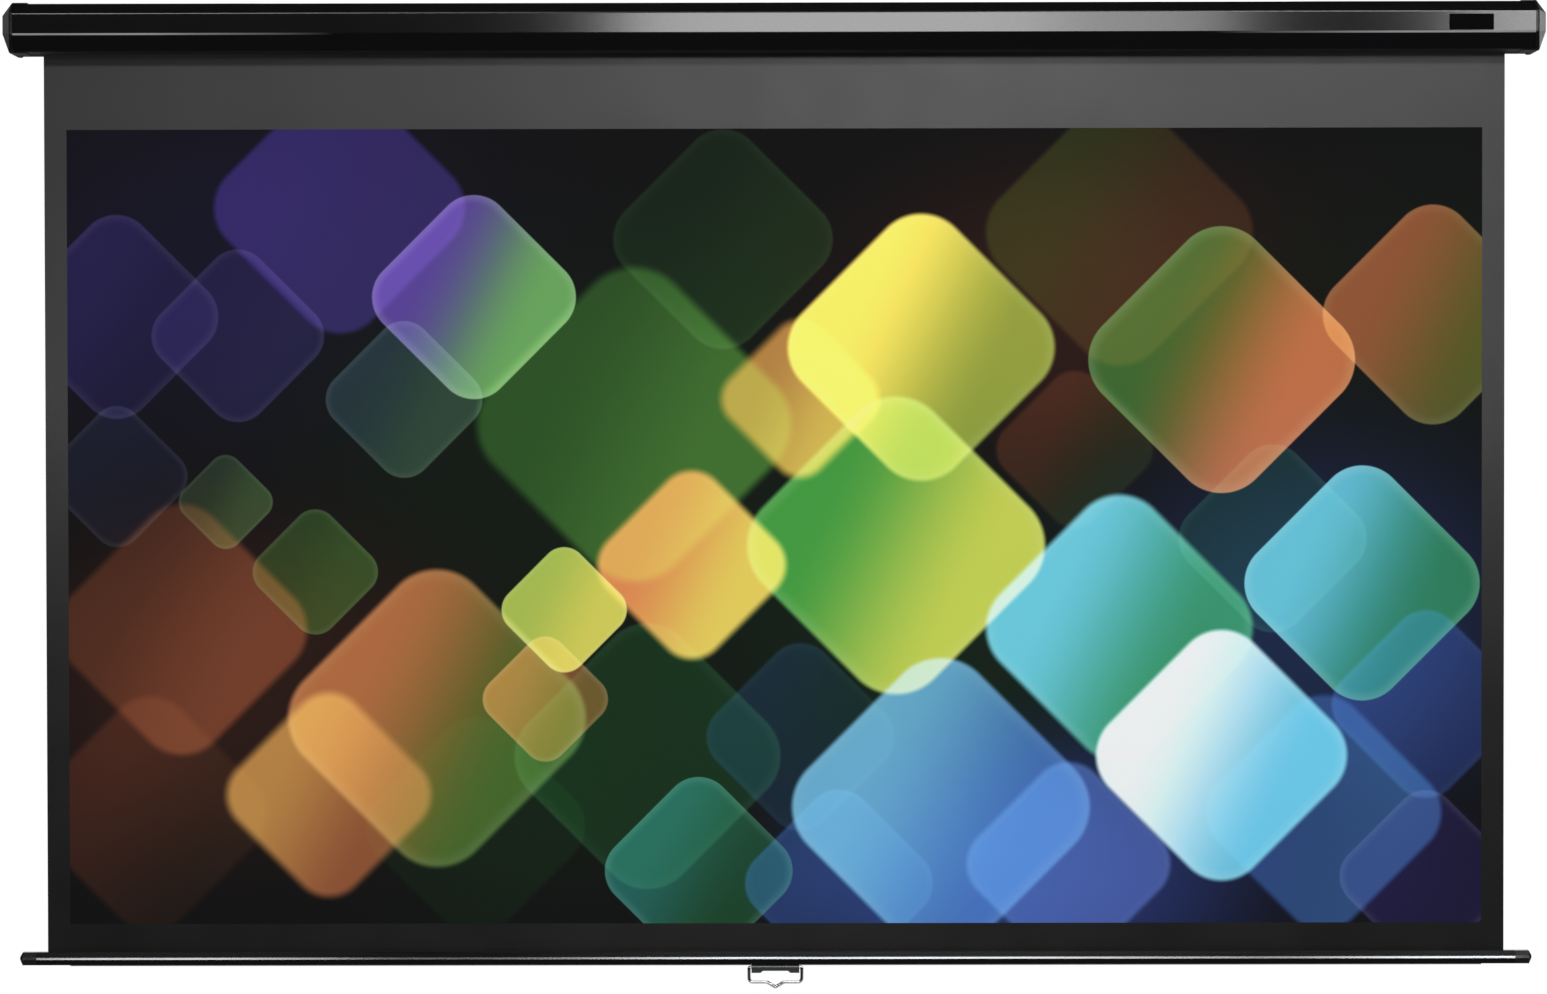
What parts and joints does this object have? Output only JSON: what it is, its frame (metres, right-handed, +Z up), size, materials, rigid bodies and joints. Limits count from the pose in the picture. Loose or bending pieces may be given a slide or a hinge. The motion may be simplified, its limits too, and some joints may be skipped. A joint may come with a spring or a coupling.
{
  "type": "pull down projector screen",
  "caption": "Manual pull-down projection screen: sprung roller in a long bevelled case, black-masked fabric, slim weight bar and a wire pull handle.",
  "frame": {"origin": "centre of the flat back face of the case, on the wall plane", "axes": "+X along the case to the viewer's right, +Y into the wall, +Z up; the picture faces -Y"},
  "size_m": [2.396, 0.0775, 1.5412],
  "materials": {
    "case": "black satin powder coat on steel",
    "caps": "black moulded ABS",
    "zinc_steel": "zinc plated",
    "spring_steel": "oiled spring wire",
    "nylon": "moulded nylon",
    "roller_aluminium": "mill-finish extrusion",
    "screen_fabric": "coated woven screen fabric with black masking",
    "weight_bar": "black satin coat on an extrusion",
    "strip": "grey flexible PVC",
    "holder": "dark grey lacquered steel",
    "bail": "chrome plated wire"
  },
  "bodies": {
    "case": {"case_shell": "case", "end_cap_left": "caps", "end_cap_right": "caps", "end_bracket_left": "zinc_steel", "end_bracket_right": "zinc_steel", "bracket_rivet_left_1": "zinc_steel", "bracket_rivet_left_2": "zinc_steel", "bracket_rivet_right_1": "zinc_steel", "bracket_rivet_right_2": "zinc_steel", "cap_screw_left_1": "zinc_steel", "cap_screw_left_2": "zinc_steel", "cap_screw_right_1": "zinc_steel", "cap_screw_right_2": "zinc_steel", "spring_spindle": "zinc_steel", "ratchet_wheel": "zinc_steel", "torsion_spring": "spring_steel", "spring_collar": "nylon", "idle_bush": "nylon", "fabric_sheet": "screen_fabric"},
    "roller": {"roller_tube": "roller_aluminium", "fabric_spline": "nylon", "fabric_roll": "screen_fabric", "pawl_carrier": "nylon", "pawl_pin_a": "zinc_steel", "pawl_pin_b": "zinc_steel", "idle_plug": "nylon", "gudgeon_pin": "zinc_steel", "gudgeon_clip": "zinc_steel"},
    "pawl_a_body": {"pawl_a": "zinc_steel"},
    "pawl_b_body": {"pawl_b": "zinc_steel"},
    "screen_bar": {"weight_bar": "weight_bar", "hem_rod": "nylon", "bar_plug_left": "caps", "bar_plug_right": "caps", "track_strip_left": "strip", "track_strip_right": "strip", "handle_holder": "holder"},
    "bail": {"handle_bail": "bail"}
  },
  "joints": [
    {"name": "screen_travel", "type": "slide", "parent": "case", "child": "screen_bar", "axis": [0, 0, 1], "range_m": [0, 1.38544], "deforming": ["fabric_sheet"]},
    {"name": "roller_spin", "type": "hinge", "parent": "case", "child": "roller", "pos_m": [0, -0.04, 0.001], "axis": [1, 0, 0], "range_deg": [-1, 3601]},
    {"name": "pawl_a_swing", "type": "hinge", "parent": "roller", "child": "pawl_a_body", "pos_m": [-1.1585, -0.023, 0.001], "axis": [1, 0, 0], "range_deg": [0, 28]},
    {"name": "pawl_b_swing", "type": "hinge", "parent": "roller", "child": "pawl_b_body", "pos_m": [-1.1585, -0.057, 0.001], "axis": [1, 0, 0], "range_deg": [0, 28]},
    {"name": "bail_swing", "type": "hinge", "parent": "screen_bar", "child": "bail", "pos_m": [0, -0.01795, -1.4682], "axis": [1, 0, 0], "range_deg": [-90, 90]}
  ],
  "couplings": [
    {"joint": "roller_spin", "follows": "screen_travel", "rad_per_m": 45.351}
  ]
}
